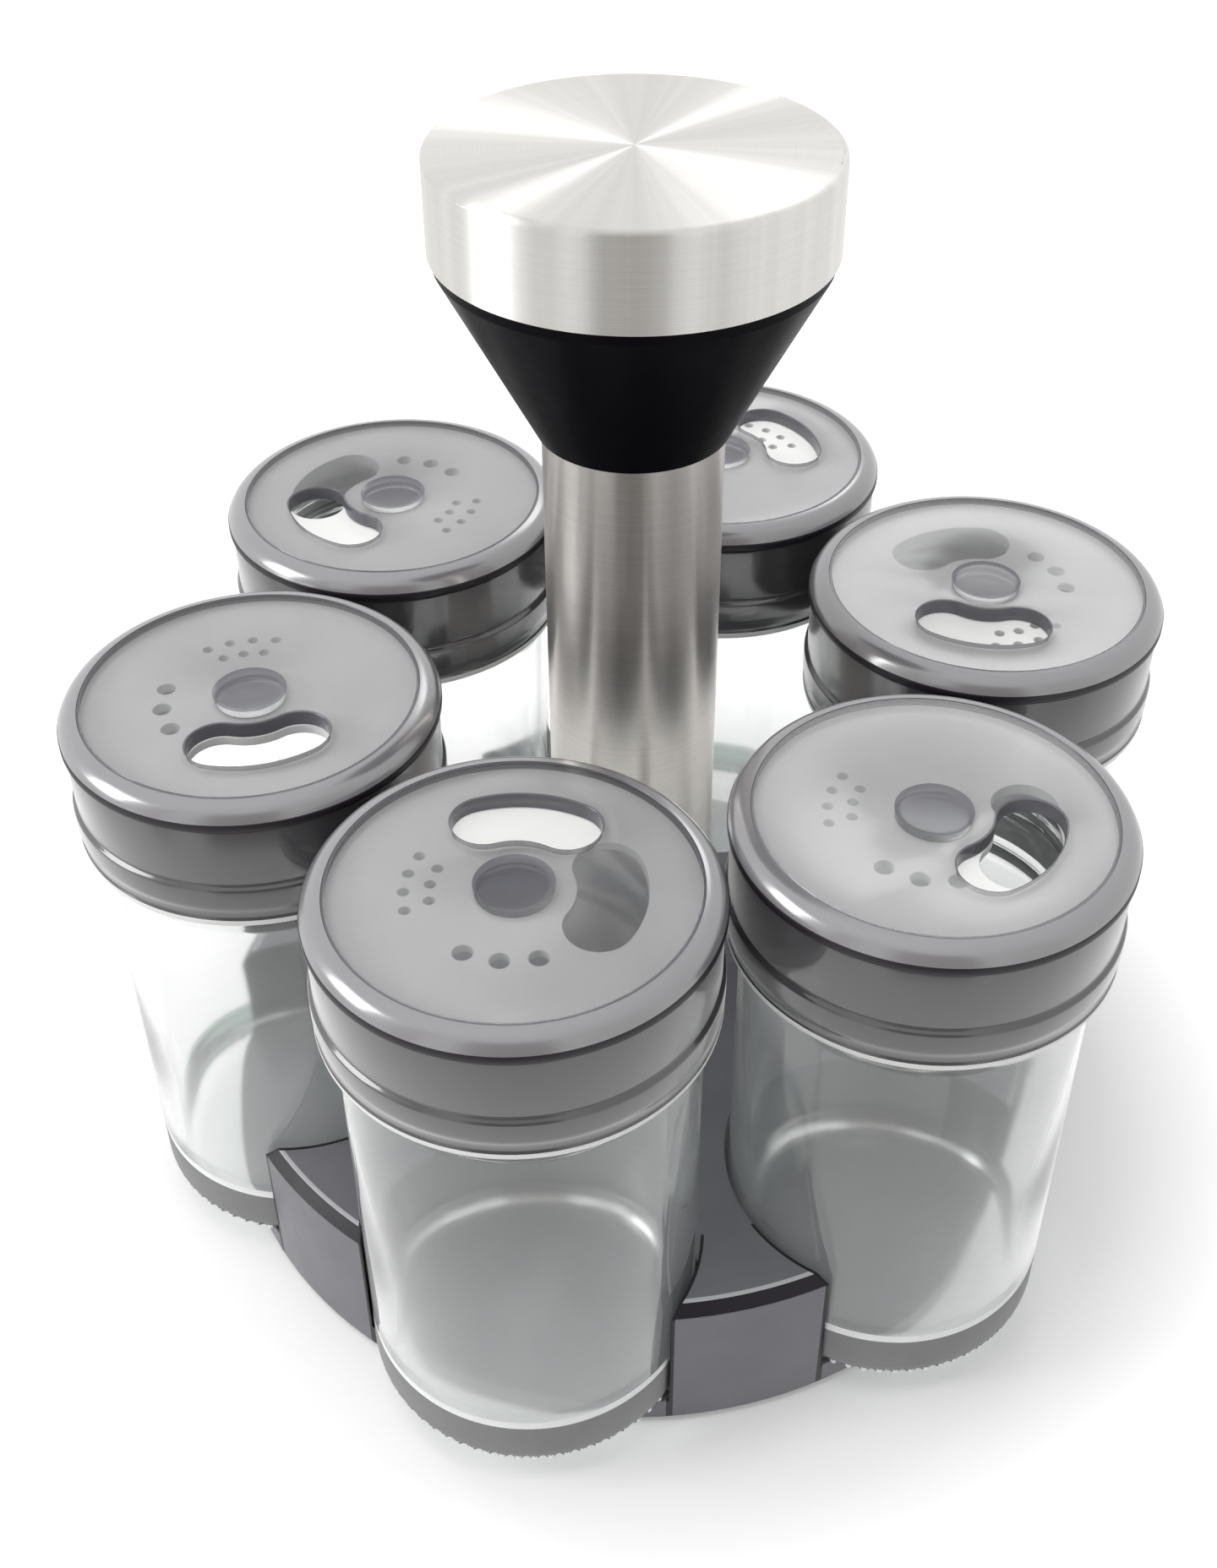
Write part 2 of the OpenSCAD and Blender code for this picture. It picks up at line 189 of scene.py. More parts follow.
class Nodes:
    """A new material's node tree with one Principled shader."""

    def __init__(self, name):
        self.mat = bpy.data.materials.new(name)
        self.mat.use_nodes = True
        self.tree = self.mat.node_tree
        self.tree.nodes.clear()
        self.out = self.add("ShaderNodeOutputMaterial")
        self.bsdf = self.add("ShaderNodeBsdfPrincipled")
        self.link(self.bsdf.outputs["BSDF"], self.out.inputs["Surface"])

    @classmethod
    def of(cls, mat):
        """The tree of a material that one of these made, to add to it."""
        n = cls.__new__(cls)
        n.mat, n.tree = mat, mat.node_tree
        n.bsdf = mat.node_tree.nodes["Principled BSDF"]
        return n

    def add(self, kind, **inputs):
        node = self.tree.nodes.new(kind)
        for key, value in inputs.items():
            node.inputs[key.replace("_", " ")].default_value = value
        return node

    def link(self, a, b):
        self.tree.links.new(a, b)

    def set(self, **values):
        for key, value in values.items():
            if isinstance(value, tuple) and len(value) == 3:
                value = (*value, 1.0)
            self.bsdf.inputs[key.replace("_", " ")].default_value = value

    def math(self, op, a, b=None):
        node = self.tree.nodes.new("ShaderNodeMath")
        node.operation = op
        for i, x in enumerate((a, b)):
            if x is None:
                continue
            if isinstance(x, (int, float)):
                node.inputs[i].default_value = x
            else:
                self.link(x, node.inputs[i])
        return node.outputs[0]

    def place(self):
        return self.add("ShaderNodeTexCoord").outputs["Object"]

    def split(self, vector):
        node = self.add("ShaderNodeSeparateXYZ")
        self.link(vector, node.inputs["Vector"])
        return node.outputs

    def hypot(self, a, b):
        return self.math("SQRT", self.math("ADD", self.math("MULTIPLY", a, a), self.math("MULTIPLY", b, b)))

    def radius(self, vector):
        """Distance from the piece's own upright axis."""
        x, y, _ = self.split(vector)
        return self.hypot(x, y)

    def noise(self, vector, scale, detail=3.0, rough=0.55):
        node = self.add("ShaderNodeTexNoise")
        node.inputs["Scale"].default_value = scale
        node.inputs["Detail"].default_value = detail
        node.inputs["Roughness"].default_value = rough
        self.link(vector, node.inputs["Vector"])
        return node.outputs["Fac"]

    def ramp(self, value, stops):
        node = self.add("ShaderNodeValToRGB")
        ends = node.color_ramp.elements
        while len(ends) < len(stops):
            ends.new(0.5)
        for end, (at, colour) in zip(ends, stops):
            end.position = at
            end.color = (*colour, 1.0) if isinstance(colour, tuple) else (colour, colour, colour, 1.0)
        self.link(value, node.inputs["Fac"])
        return node.outputs["Color"]

    def times(self, colour, factor):
        node = self.add("ShaderNodeMix")
        node.data_type, node.blend_type = "RGBA", "MULTIPLY"
        node.inputs[0].default_value = 1.0
        self.link(colour, node.inputs[6])
        self.link(factor, node.inputs[7])
        return node.outputs[2]

    def span(self, value, low, high, start=0.0, end=1.0):
        """Goes from low to high as value goes from start to end."""
        node = self.add("ShaderNodeMapRange", From_Min=start, From_Max=end, To_Min=low, To_Max=high)
        self.link(value, node.inputs["Value"])
        return node.outputs["Result"]

    def bump(self, height, strength, distance, normal=None):
        node = self.add("ShaderNodeBump")
        node.inputs["Strength"].default_value = strength
        node.inputs["Distance"].default_value = distance
        self.link(height, node.inputs["Height"])
        if normal is not None:
            self.link(normal, node.inputs["Normal"])
        self.link(node.outputs["Normal"], self.bsdf.inputs["Normal"])
        return node.outputs["Normal"]

    def soft_edges(self, radius):
        """Normals that round sharp edges a little, as a mould leaves them."""
        node = self.add("ShaderNodeBevel")
        node.samples = 4
        node.inputs["Radius"].default_value = radius
        return node.outputs["Normal"]

    def lets_lamps_through(self, tint):
        """Lamp and diffuse rays pass straight through, so that what is behind is lit."""
        paths = self.add("ShaderNodeLightPath")
        fac = self.math("MAXIMUM", paths.outputs["Is Shadow Ray"], paths.outputs["Is Diffuse Ray"])
        clear = self.add("ShaderNodeBsdfTransparent")
        clear.inputs["Color"].default_value = (*tint, 1.0)
        mix = self.add("ShaderNodeMixShader")
        self.link(fac, mix.inputs["Fac"])
        self.link(self.bsdf.outputs["BSDF"], mix.inputs[1])
        self.link(clear.outputs["BSDF"], mix.inputs[2])
        self.link(mix.outputs["Shader"], self.out.inputs["Surface"])

    def absorbs(self, colour, density):
        node = self.add("ShaderNodeVolumeAbsorption")
        node.inputs["Color"].default_value = (*colour, 1.0)
        node.inputs["Density"].default_value = density
        self.link(node.outputs["Volume"], self.out.inputs["Volume"])


def glass_material():
    """Pressed glass: clear, very slightly green and a little wavy, with a duller skin inside."""
    n = Nodes("jar_glass")
    n.set(Base_Color=(1.0, 1.0, 1.0), Transmission_Weight=0.95, IOR=1.5)
    p = n.place()
    skin = n.span(n.radius(p), 0.10, 0.02, (JAR_R - JAR_WALL + 0.3) * MM, (JAR_R - 0.3) * MM)
    n.link(skin, n.bsdf.inputs["Roughness"])
    n.bump(n.noise(p, 55.0, 1.0), 0.10, 0.0006)
    n.lets_lamps_through((0.95, 0.965, 0.96))
    n.absorbs((0.68, 0.82, 0.77), 10.0)
    return n.mat


def ground_material(name, tone):
    """Ground glass, for the band round the jar's foot, and in a pale tone for the bright edges beside it,
    which are painted highlights.
    """
    n = Nodes(name)
    p = n.place()
    low, high = (tuple(c * f for c in tone) for f in (0.93, 1.05))
    n.link(n.ramp(n.noise(p, 120.0), [(0.3, low), (0.7, high)]), n.bsdf.inputs["Base Color"])
    n.link(n.span(n.noise(p, 700.0), 0.42, 0.6), n.bsdf.inputs["Roughness"])
    n.bump(n.noise(p, 1800.0, 2.0), 0.15, 0.00005)
    # seen from inside the glass, the ground skin is as clear as the rest
    inside = n.add("ShaderNodeBsdfPrincipled", Transmission_Weight=0.95, IOR=1.5, Roughness=0.1)
    inside.inputs["Base Color"].default_value = (1.0, 1.0, 1.0, 1.0)
    mix = n.add("ShaderNodeMixShader")
    n.link(n.add("ShaderNodeNewGeometry").outputs["Backfacing"], mix.inputs["Fac"])
    n.link(n.bsdf.outputs["BSDF"], mix.inputs[1])
    n.link(inside.outputs["BSDF"], mix.inputs[2])
    n.link(mix.outputs["Shader"], n.out.inputs["Surface"])
    return n.mat


def smoke_material(name, tone, clear, rough, through, density=0.0, edge=0.0, gloss=0.0, skin=0.09):
    """Smoke-coloured plastic. clear is how far it is see-through, edge the paleness of its outline, gloss the
    index of a polished skin and skin its roughness, and density its depth of colour."""
    n = Nodes(name)
    n.set(Transmission_Weight=clear, IOR=1.49, Sheen_Weight=edge, Sheen_Roughness=0.35)
    if gloss:
        n.set(Coat_Weight=1.0, Coat_IOR=gloss, Coat_Roughness=skin)
    p = n.place()
    low, high = (tuple(min(1.0, c * f) for c in tone) for f in (0.94, 1.05))
    colour = n.ramp(n.noise(p, 45.0, 2.0), [(0.3, low), (0.7, high)])
    n.link(colour, n.bsdf.inputs["Base Color"])
    n.link(n.span(n.noise(p, 90.0), rough * 0.8, rough * 1.2), n.bsdf.inputs["Roughness"])
    n.lets_lamps_through((through, through, through))
    if density:
        n.absorbs((0.08, 0.08, 0.14), density)
    return n.mat


def plastic_material(name, low, high, rough, grain, depth, edge=0.0003, specular=0.5):
    """Moulded plastic: a fine grain, slight cloudiness in its colour, and softened edges."""
    n = Nodes(name)
    n.set(Specular_IOR_Level=specular)
    p = n.place()
    n.link(n.ramp(n.noise(p, 60.0), [(0.3, low), (0.7, high)]), n.bsdf.inputs["Base Color"])
    n.link(n.span(n.noise(p, 300.0), rough - 0.06, rough + 0.06), n.bsdf.inputs["Roughness"])
    n.bump(n.noise(p, grain, 2.0), 0.25, depth, n.soft_edges(edge))
    return n.mat


def steel_material(name, dull, bright, rough, along, fans, foot=1.0):
    """Steel brushed in rings about the axis, so that highlights draw out across the rings. foot is how much
    brighter its colour is painted towards its lower end, a painted reflection of the light below it."""
    n = Nodes(name)
    n.set(Metallic=1.0, Anisotropic=along, Anisotropic_Rotation=0.25)
    tangent = n.add("ShaderNodeTangent")
    tangent.direction_type = "RADIAL"
    tangent.axis = "Z"
    n.link(tangent.outputs["Tangent"], n.bsdf.inputs["Tangent"])
    p = n.place()
    x, y, z = n.split(p)
    rings = n.add("ShaderNodeCombineXYZ")
    n.link(n.radius(p), rings.inputs["X"])
    n.link(z, rings.inputs["Y"])
    # the brush lines: fine rings, each a little brighter or duller
    lines = n.noise(rings.outputs["Vector"], 5200.0, 4.0, 0.7)
    n.link(n.span(lines, rough - 0.06, rough + 0.06), n.bsdf.inputs["Roughness"])
    tone = n.ramp(lines, [(0.25, dull), (0.75, bright)])
    if fans:
        # faint rays round the axis, the tone a little lighter or darker at random: partly a painted
        # highlight, echoing the fans of light that the brushing throws
        turn = n.math("ARCTAN2", y, x)
        around = n.add("ShaderNodeCombineXYZ")
        n.link(n.math("COSINE", turn), around.inputs["X"])
        n.link(n.math("SINE", turn), around.inputs["Y"])
        rays = n.noise(around.outputs["Vector"], 9.0, 3.0, 0.6)
        tone = n.times(tone, n.ramp(rays, [(0.35, 0.92), (0.65, 1.0)]))
    if foot > 1.0:
        # painted reflection: the colour grows brighter towards the lower end, where the steel reflects the
        # light floor
        painted_light_z, plain_z = 0.085, 0.118
        tone = n.times(tone, n.span(z, foot, 1.0, painted_light_z, plain_z))
    n.link(tone, n.bsdf.inputs["Base Color"])
    n.bump(lines, 0.10, 0.00003)
    return n.mat


def plated_material():
    """Zinc plate, a little cloudy."""
    n = Nodes("plated_steel")
    n.set(Metallic=1.0)
    p = n.place()
    tone = n.ramp(n.noise(p, 180.0), [(0.3, (0.50, 0.49, 0.46)), (0.7, (0.66, 0.65, 0.63))])
    n.link(tone, n.bsdf.inputs["Base Color"])
    n.link(n.span(n.noise(p, 700.0), 0.22, 0.4), n.bsdf.inputs["Roughness"])
    n.bump(n.noise(p, 1200.0), 0.1, 0.00004, n.soft_edges(0.0003))
    return n.mat


def tray_material():
    """The tray's plastic, with a painted dark band on the bevel round its top edge (painted shade and dark
    reflection), a painted highlight line along it, and painted shadow on the edges where the pockets open to
    the side."""
    low, high = (0.155, 0.152, 0.172), (0.187, 0.183, 0.203)
    mat = plastic_material("tray_plastic", low, high, 0.40, 1800.0, 0.00006, 0.0004, specular=0.32)
    n = Nodes.of(mat)
    p = n.place()
    x, y, z = n.split(p)
    radius = n.radius(p)

    def beyond(least_r, least_z):
        """Where the radius and the height are over these, in millimetres."""
        return n.math(
            "MULTIPLY",
            n.math("GREATER_THAN", radius, least_r * MM),
            n.math("GREATER_THAN", z, least_z * MM),
        )

    # the six pockets are folded onto one, to find how far a point is from a pocket's axis
    sixth = math.pi / 3
    fold = n.math("SUBTRACT", n.math("FLOORED_MODULO", n.math("ARCTAN2", y, x), sixth), sixth / 2)
    away = n.math("SUBTRACT", n.math("MULTIPLY", radius, n.math("COSINE", fold)), PITCH_R * MM)
    across = n.math("MULTIPLY", radius, n.math("SINE", fold))
    far = n.hypot(away, across)
    # painted shadow: a near-black strip round the outer half of each pocket's edge
    rim = n.math(
        "MULTIPLY",
        n.math("LESS_THAN", far, (POCKET_R + 0.45) * MM),
        n.math("GREATER_THAN", far, (POCKET_R - 0.3) * MM),
    )
    rim = n.math("MULTIPLY", rim, n.math("GREATER_THAN", radius, PITCH_R * MM))

    painted_highlight, painted_dark_band = beyond(65.3, 26.8), beyond(65.95, 25.45)
    colour = n.bsdf.inputs["Base Color"].links[0].from_socket
    # the pale line is a painted highlight, the dark band painted shade and dark reflection, the near-black
    # pocket edge painted shadow
    for mask, tone in (
        (painted_highlight, (0.52, 0.52, 0.54)),
        (painted_dark_band, (0.010, 0.008, 0.014)),
        (rim, (0.006, 0.005, 0.008)),
    ):
        mix = n.add("ShaderNodeMix")
        mix.data_type = "RGBA"
        mix.inputs[7].default_value = (*tone, 1.0)
        n.link(mask, mix.inputs[0])
        n.link(colour, mix.inputs[6])
        colour = mix.outputs[2]
    n.link(colour, n.bsdf.inputs["Base Color"])
    return mat


GLASS = glass_material()
JAR_FOOT = ground_material("ground_glass", (0.22, 0.222, 0.222))
# pale ground glass: painted highlights for the bright line above the ground band and glints on the teeth's
# crests
JAR_GLINT = ground_material("ground_glass_painted_glint", (0.92, 0.93, 0.92))
SMOKE_COLLAR = smoke_material("smoke_collar", (0.058, 0.055, 0.061), 0.15, 0.25, 0.2, edge=1.0, gloss=1.7)
# pale, nearly opaque: a painted highlight along the collar's lower bead
RIM_HIGHLIGHT = smoke_material("collar_rim_painted_highlight", (0.86, 0.86, 0.85), 0.1, 0.3, 0.3)
SMOKE_SHOULDER = smoke_material("smoke_shoulder", (0.185, 0.18, 0.19), 0.0, 0.3, 0.5, gloss=2.3, skin=0.19)
# near-black: painted shade in the gap where the dial's lip meets the collar
LIP_SHADE = smoke_material("dial_lip_painted_shade", (0.013, 0.010, 0.014), 0.0, 0.4, 0.2)
SMOKE_DIAL = smoke_material("smoke_dial", (0.69, 0.69, 0.70), 0.95, 0.15, 0.9, density=35.0)
# darker, less clear smoke: painted shade in the ring groove, the hub's recess and the slot's walls
SMOKE_SHADE = smoke_material("smoke_painted_shade", (0.15, 0.15, 0.17), 0.45, 0.2, 0.8)
WHITE = plastic_material("white_plate", (0.80, 0.80, 0.79), (0.86, 0.86, 0.85), 0.38, 1400.0, 0.00003, 0.0002)
TRAY = tray_material()
FOOT = plastic_material("foot_plastic", (0.030, 0.030, 0.033), (0.042, 0.042, 0.045), 0.5, 1500.0, 0.00006)
CONE = plastic_material(
    "cone_plastic", (0.0010, 0.0005, 0.0018), (0.0022, 0.0012, 0.0035), 0.36, 2200.0, 0.00002, specular=0.07
)
NYLON = plastic_material("nylon", (0.62, 0.60, 0.54), (0.70, 0.68, 0.62), 0.45, 1200.0, 0.00004)
RUBBER = plastic_material("pad_rubber", (0.014, 0.014, 0.014), (0.024, 0.024, 0.024), 0.75, 900.0, 0.0001)
# a darker copy of the cap's steel: painted shade for the dark parts it reflects, and a painted reflection
# brightening its lower end
SHADED_COLUMN_STEEL = steel_material("column_steel", (0.44, 0.415, 0.395), (0.56, 0.535, 0.51), 0.30, 0.9, False, 1.4)
CAP = steel_material("cap_steel", (0.80, 0.785, 0.755), (0.93, 0.92, 0.895), 0.39, 1.0, True)
PLATED = plated_material()


def wear(node, material):
    """Gives a CAD node that stays its material."""
    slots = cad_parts[node].data.materials
    slots.clear()
    slots.append(material)


for material, nodes in (
    (TRAY, ("base_tray",)),
    (FOOT, ("foot_plate", "race_hub")),
    (RUBBER, ("foot_pads",)),
    (NYLON, ("ball_cage", "pivot_bush")),
    (PLATED, ("foot_screws", "bearing_balls", "thrust_washer", "lock_nut", "clamp_nut", "clamp_washer")),
    (PLATED, ("tie_rod", "top_washer", "top_nut")),
    (SHADED_COLUMN_STEEL, ("column_tube",)),
    (CONE, ("knob_cone",)),
    (CAP, ("knob_cap",)),
    (WHITE, [f"sifter_{k}" for k in JARS]),
):
    for node in nodes:
        wear(node, material)


# Jars


def jar_mesh(foot, mouth):
    """A pressed glass jar: knurled foot, thick floor, straight wall, and a screw thread round the neck."""
    bm = bmesh.new()
    tooth_steps = 6
    inner, neck_inner = JAR_R - JAR_WALL, NECK_R - JAR_WALL

    def tooth(i):
        return -0.3 + 0.3 * math.cos(2 * math.pi * i / tooth_steps)

    # the smooth underside, and the knurled edge that the jar stands on
    base = ((8.0, 0.5), (16.0, 0.4), (JAR_R - 3.0, 0.2), (JAR_R - 2.0, 0.0))
    under = turned(bm, [(r, foot + h) for r, h in base])
    cap(bm, under[0], foot + 0.6)
    edge = ((-0.75, 0.0), (-0.25, 0.35), (-0.15, TOOTH_H))
    knurl = [circle(bm, JAR_R + r, foot + h, TEETH * tooth_steps, tooth) for r, h in edge]
    bridge(bm, under[-1], knurl[0])
    for a, b in zip(knurl, knurl[1:]):
        bridge(bm, a, b)
    neck = mouth - foot - COLLAR_REACH - 0.3
    shoulder = neck - SHOULDER_H
    # the bright line, a painted highlight, lies in a shallow groove
    wall = [
        (-0.1, 1.7), (0.0, 2.4), (0.0, GROUND_TOP - 0.3), (-0.06, GROUND_TOP), (-0.1, GROUND_TOP + 0.3),
        (-0.1, LINE_TOP - 0.4), (0.0, LINE_TOP), (0.0, 30.0), (0.0, shoulder - 0.8), (-0.2, shoulder + 0.2),
    ]
    rings = [circle(bm, JAR_R + r, foot + h) for r, h in wall]
    bridge(bm, knurl[-1], rings[0])
    rings += [circle(bm, NECK_R + r, foot + neck + h) for r, h in ((0.2, -0.2), (-0.1, 0.2), (-0.25, 0.8))]
    # the neck, with a thread that winds up it and fades out at both ends
    pitch, ridge, turns = 3.3, 1.15, 2.2
    start, rows = mouth - 11.2, 44
    low, high = mouth - 13.6, mouth - 1.4
    for row in range(rows + 1):
        z = low + (high - low) * row / rows
        ring = []
        for i in range(SEG):
            a = 2 * math.pi * i / SEG
            r = NECK_R - 0.25
            for turn in range(-1, 4):
                t = turn + i / SEG
                if 0.0 <= t <= turns:
                    fade = min(1.0, t / 0.12, (turns - t) / 0.12)
                    d = (z - start - pitch * t) / 0.95
                    if abs(d) < 1.0:
                        r = max(r, NECK_R - 0.25 + (ridge + 0.25) * fade * (1 - d * d) ** 0.6)
            ring.append(bm.verts.new((r * math.cos(a), r * math.sin(a), z)))
        rings.append(ring)
    lip = [
        (NECK_R - 0.3, -0.8), (NECK_R - 0.6, -0.25), (NECK_R - 1.1, 0.0),
        (neck_inner + 0.6, -0.05), (neck_inner + 0.15, -0.4), (neck_inner, -1.0),
    ]
    rings += [circle(bm, r, mouth + h) for r, h in lip]
    inside = [
        (neck_inner, neck - 0.6), (neck_inner + 0.3, neck - 1.3),
        (inner - 0.3, shoulder - 0.9), (inner, shoulder - 1.8), (inner, 35.0),
    ]
    rings += [circle(bm, r, foot + h) for r, h in inside]
    floor = foot + JAR_FLOOR
    corner_in = [(0.0, 3.2), (-0.25, 2.0), (-1.0, 0.85), (-2.2, 0.2), (-3.6, 0.0)]
    rings += [circle(bm, inner + r, floor + h) for r, h in corner_in]
    rings.append(circle(bm, 9.0, floor + 0.12))
    for a, b in zip(rings, rings[1:]):
        bridge(bm, a, b)
    cap(bm, rings[-1], floor + 0.2)
    return bm


# Lids


def collar_mesh(low, high, shelf):
    """The screw collar: a wider band below a small step, a rounded lower edge, and a shelf over the mouth."""
    bm = bmesh.new()
    band = low + BAND_H
    # a bead along the lower edge, a hollow above it, and a fine groove at the step
    points = [
        (BORE_R, low), (LID_R - 0.25, low), (LID_R - 0.05, low + 1.15), (LID_R - 0.35, low + 1.5),
        (LID_R - 0.25, low + 2.6), (LID_R, low + 3.4), (LID_R, band),
        (COLLAR_UPPER_R - 0.15, band + 0.45), (COLLAR_UPPER_R, band + 0.9), (COLLAR_UPPER_R, high),
        (SHELF_R, high), (SHELF_R, shelf), (BORE_R, shelf),
    ]
    radii = [0.3, 0.5, 0.25, 0.2, 0.4, 0.4, 0.25, 0.2, 0.2, 0.35, 0.2, 0.2, 0.4]
    turned(bm, rounded(points, radii, loop=True), loop=True)
    return bm


def arc(r, start, sweep, n, x=0.0, y=0.0):
    """n points along an arc about x, y, without its last point."""
    turns = (start + sweep * i / n for i in range(n))
    return [(x + r * math.cos(a), y + r * math.sin(a)) for a in turns]


def kidney(grow, n_arc=20, n_end=18):
    """The outline of the kidney slot, grown outwards, with the middle of its sweep along +X."""
    half = math.radians(SLOT_SWEEP / 2)
    w = SLOT_W / 2 + grow
    x, y = SLOT_MID_R * math.cos(half), SLOT_MID_R * math.sin(half)
    return (
        arc(SLOT_MID_R + w, -half, 2 * half, n_arc)
        + arc(w, half, math.pi, n_end, x, y)
        + arc(SLOT_MID_R - w, half, -2 * half, n_arc)
        + arc(w, math.pi - half, math.pi, n_end, x, -y)
    )


def in_kidney(x, y, grow):
    """Whether a point lies in the grown slot."""
    half = math.radians(SLOT_SWEEP / 2)
    w = SLOT_W / 2 + grow
    if abs(math.atan2(y, x)) <= half:
        return abs(math.hypot(x, y) - SLOT_MID_R) < w
    return math.hypot(x - SLOT_MID_R * math.cos(half), abs(y) - SLOT_MID_R * math.sin(half)) < w


def flat_face(bm, outer, inner, grow, z):
    """A flat face between two circles at height z, with the kidney left open."""
    points, edges = [], []
    for loop in (arc(outer, 0.0, 2 * math.pi, SEG), arc(inner, 0.0, 2 * math.pi, SEG), kidney(grow)):
        first = len(points)
        points += [Vector(p) for p in loop]
        edges += [(first + i, first + (i + 1) % len(loop)) for i in range(len(loop))]
    verts, _, faces, *_ = delaunay_2d_cdt(points, edges, [], 0, 1e-6)
    made = [bm.verts.new((v.x, v.y, z)) for v in verts]
    for f in faces:
        x = sum(verts[i].x for i in f) / len(f)
        y = sum(verts[i].y for i in f) / len(f)
        if inner < math.hypot(x, y) and not in_kidney(x, y, grow):
            bm.faces.new([made[i] for i in f])


def dial_mesh(under, top, rim, hub_low):
    """The dial: a flat top, a sloping shoulder and a lip, a kidney slot with rounded edges, and the hub."""
    bm = bmesh.new()
    edge = 0.3
    groove = [(DIAL_TOP_R, top), (LID_R - 3.35, top), (LID_R - 3.27, top - 0.12), (LID_R - 3.0, top - 0.12)]
    lip = rounded(
        [
            (LID_R - 0.08, rim + DIAL_LIP_H + 0.13), (LID_R, rim + DIAL_LIP_H), (LID_R, rim),
            (DIAL_BORE_R, rim), (DIAL_BORE_R, under), (DIAL_BORE_R - 1.0, under),
        ],
        [0, 0, 0.2, 0.15, 0.15, 0],
    )
    # between the groove and the lip the shoulder bulges a little
    first, last = Vector((LID_R - 2.92, top - 0.03)), Vector((LID_R - 0.12, rim + DIAL_LIP_H + 0.2))
    along = last - first
    bulge = (first + last) / 2 + Vector((-along.y, along.x)).normalized() * 1.1
    steps = 10
    shoulder = []
    for i in range(steps + 1):
        t = i / steps
        shoulder.append(tuple((1 - t) ** 2 * first + 2 * t * (1 - t) * bulge + t * t * last))
    turned(bm, groove + shoulder + lip)
    hub = [(0.05, 0.0), (-0.1, 0.06), (-0.5, 0.16), (HUB_RECESS_R - HUB_R, 0.2), (0.6 - HUB_R, 0.24)]
    rings = turned(bm, [(HUB_R + r, top - down) for r, down in hub])
    cap(bm, rings[-1], top - 0.24)
    catch_top = hub_low + 1.2
    catch = rounded(
        [
            (HUB_R + 1.0, under), (HUB_R, under), (HUB_R, catch_top),
            (HUB_R + 0.8, catch_top), (HUB_R + 0.3, hub_low), (0.6, hub_low),
        ],
        [0, 0.15, 0.1, 0.2, 0.3, 0],
    )
    rings = turned(bm, catch)
    cap(bm, rings[-1], hub_low)
    flat_face(bm, DIAL_TOP_R, HUB_R + 0.05, edge, top)
    flat_face(bm, DIAL_BORE_R - 1.0, HUB_R + 1.0, 0.1, under)
    # the wall of the slot, rounded at the top
    rows = [
        (edge, top), (edge * 0.45, top - edge * 0.12), (edge * 0.12, top - edge * 0.45),
        (0.0, top - edge), (0.0, under + 0.1), (0.1, under),
    ]
    loops = [[bm.verts.new((x, y, z)) for x, y in kidney(g)] for g, z in rows]
    for a, b in zip(loops, loops[1:]):
        bridge(bm, a, b)
    return bm


def finish(piece, materials, pick):
    """Gives faces other materials. pick(radius, x, y, z) of a face's middle, in millimetres, says which."""
    for material in materials:
        piece.data.materials.append(material)
    for face in piece.data.polygons:
        x, y, z = face.center / MM
        face.material_index = pick(math.hypot(x, y), x, y, z)


def dress_jar(k):
    """Makes jar k with its collar and dial. The white plate under the dial is the CAD node itself."""
    x, y, angle = jar_place(k)
    foot, mouth = heights(f"jar_{k}")
    low, high = heights(f"lid_collar_{k}")
    hub_low, top = heights(f"dial_{k}")
    rim = high + 0.3

    def jar_zone(r, x, y, z):
        if z > foot + LINE_TOP - 0.05 or r < JAR_R - 1.3:
            return 0
        if z < foot + TOOTH_H + 0.05:
            # the crests of the teeth take the pale material, painted glints
            return 2 if math.cos(TEETH * math.atan2(y, x)) > 0.1 else 1
        return 1 if z < foot + GROUND_TOP - 0.05 else 2

    def collar_zone(r, x, y, z):
        # the bead along the lower edge takes the pale material, a painted highlight
        return 1 if r > BORE_R + 1.2 and z < low + 1.2 else 0

    def dial_zone(r, x, y, z):
        # the lip: near-black painted shade where the dial meets the collar
        if r > DIAL_BORE_R - 0.3 and z < rim + DIAL_LIP_H + 0.21:
            return 3
        # the ring groove, the hub and the slot's walls take the darker smoke, painted shade
        if LID_R - 3.3 < r < LID_R - 2.95 and z > top - 0.3:
            return 1
        if r > LID_R - 2.95 and z > rim:
            return 2
        if r < HUB_R + 0.04 and z > top - 3.7:
            return 1
        return 1 if r > HUB_R and z > top - 2.2 and in_kidney(x, y, 0.28) else 0

    jar = new_piece(f"glass_jar_{k}", jar_mesh(foot, mouth), GLASS, 40)
    finish(jar, (JAR_FOOT, JAR_GLINT), jar_zone)
    put(jar, x, y, angle + 40.0 * k)
    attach(jar, f"jar_{k}")
    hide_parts(f"jar_{k}")

    collar = new_piece(f"screw_collar_{k}", collar_mesh(low, high, mouth + 0.1), SMOKE_COLLAR)
    finish(collar, (RIM_HIGHLIGHT,), collar_zone)
    put(collar, x, y)
    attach(collar, f"lid_{k}")
    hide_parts(f"lid_collar_{k}")

    under = top - DIAL_PLATE
    dial = new_piece(f"shaker_dial_{k}", dial_mesh(under, top, rim, hub_low), SMOKE_DIAL)
    finish(dial, (SMOKE_SHADE, SMOKE_SHOULDER, LIP_SHADE), dial_zone)
    put(dial, x, y, angle + LID_TURN[k - 1] + DIAL_TURN[k - 1])
    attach(dial, f"dial_{k}")
    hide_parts(f"dial_{k}")


for k in JARS:
    dress_jar(k)


# Stage, light and camera

scene = bpy.context.scene
scene.view_settings.view_transform = "Standard"
scene.cycles.use_denoising = True


